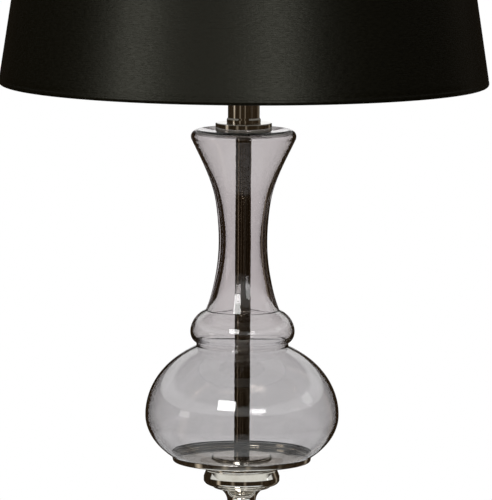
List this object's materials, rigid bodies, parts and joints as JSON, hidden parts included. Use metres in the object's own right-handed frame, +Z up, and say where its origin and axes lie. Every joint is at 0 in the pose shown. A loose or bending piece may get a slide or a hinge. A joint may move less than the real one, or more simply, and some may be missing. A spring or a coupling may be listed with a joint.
{
  "type": "table lamp",
  "caption": "Table lamp: waisted smoked glass body over a low bulb, on a dark metal spool and round foot, under a tapered black satin shade.",
  "frame": {"origin": "centre of the underside, on the surface the lamp stands on", "axes": "+Z up along the lamp's axis; the front faces -Y and the cord inlet is at +Y"},
  "size_m": [0.4499, 0.45, 0.7244],
  "materials": {
    "felt": "black felt",
    "steel": "zinc plated",
    "iron": "rough casting",
    "black_rubber": "matt",
    "polished_nickel": "polished nickel plate, a little smoked",
    "clear_gasket": "clear silicone",
    "smoked_glass": "blown smoked glass",
    "black_moulding": "moulded black",
    "porcelain": "glazed white",
    "brass": "plain brass",
    "solder": "soldered contact",
    "black_glass": "black vitreous insulator",
    "bulb_cap_metal": "nickel plated brass",
    "bulb_glass": "clear",
    "filament": "yellow phosphor coating",
    "black_satin": "black satin laminated on stiff lining",
    "white_liner": "white",
    "frame_wire": "white painted wire"
  },
  "bodies": {
    "base": {"felt_pad": "felt", "bottom_plate": "steel", "base_weight": "iron", "bottom_nut": "steel", "bottom_washer": "steel", "cord_inlet": "black_rubber", "base_foot": "polished_nickel", "spool": "polished_nickel", "dish": "polished_nickel", "seat_washer": "polished_nickel", "lower_gasket": "clear_gasket", "glass_body": "smoked_glass", "upper_gasket": "clear_gasket", "cap": "polished_nickel", "rod_sleeve": "polished_nickel", "threaded_rod": "steel", "holder_cup": "polished_nickel", "clamp_nut": "steel", "holder_sleeve": "polished_nickel", "switch_block": "black_moulding", "holder_insert": "porcelain", "screw_shell": "brass", "centre_contact": "brass", "contact_screws": "brass"},
    "shade": {"shade_cover": "black_satin", "shade_liner": "white_liner", "top_wire": "frame_wire", "bottom_wire": "frame_wire", "fitter": "frame_wire", "spider_arm_1": "frame_wire", "spider_arm_2": "frame_wire", "spider_arm_3": "frame_wire"},
    "shade_ring": {"shade_ring": "polished_nickel"},
    "switch_bar": {"push_bar": "black_moulding"},
    "bulb_tip": {"bulb_contact": "solder", "bulb_insulator": "black_glass"},
    "bulb": {"bulb_screw_cap": "bulb_cap_metal", "bulb_globe": "bulb_glass", "bulb_stem": "bulb_glass", "filaments": "filament"}
  },
  "joints": [
    {"name": "shade_turn", "type": "hinge", "parent": "base", "child": "shade", "pos_m": [0, 0, 0.4609], "axis": [0, 0, 1], "continuous": true},
    {"name": "ring_turn", "type": "hinge", "parent": "base", "child": "shade_ring", "pos_m": [0, 0, 0.465], "axis": [0, 0, 1], "range_deg": [0, 360]},
    {"name": "switch_push", "type": "slide", "parent": "base", "child": "switch_bar", "axis": [1, 0, 0], "range_m": [0, 0.006]},
    {"name": "bulb_rise", "type": "slide", "parent": "base", "child": "bulb_tip", "axis": [0, 0, 1], "range_m": [0, 0.0108]},
    {"name": "bulb_turn", "type": "hinge", "parent": "bulb_tip", "child": "bulb", "pos_m": [0, 0, 0.48], "axis": [0, 0, 1], "range_deg": [0, 1080.6]}
  ],
  "couplings": [
    {"joint": "bulb_turn", "follows": "bulb_rise", "rad_per_m": 1745.3}
  ]
}
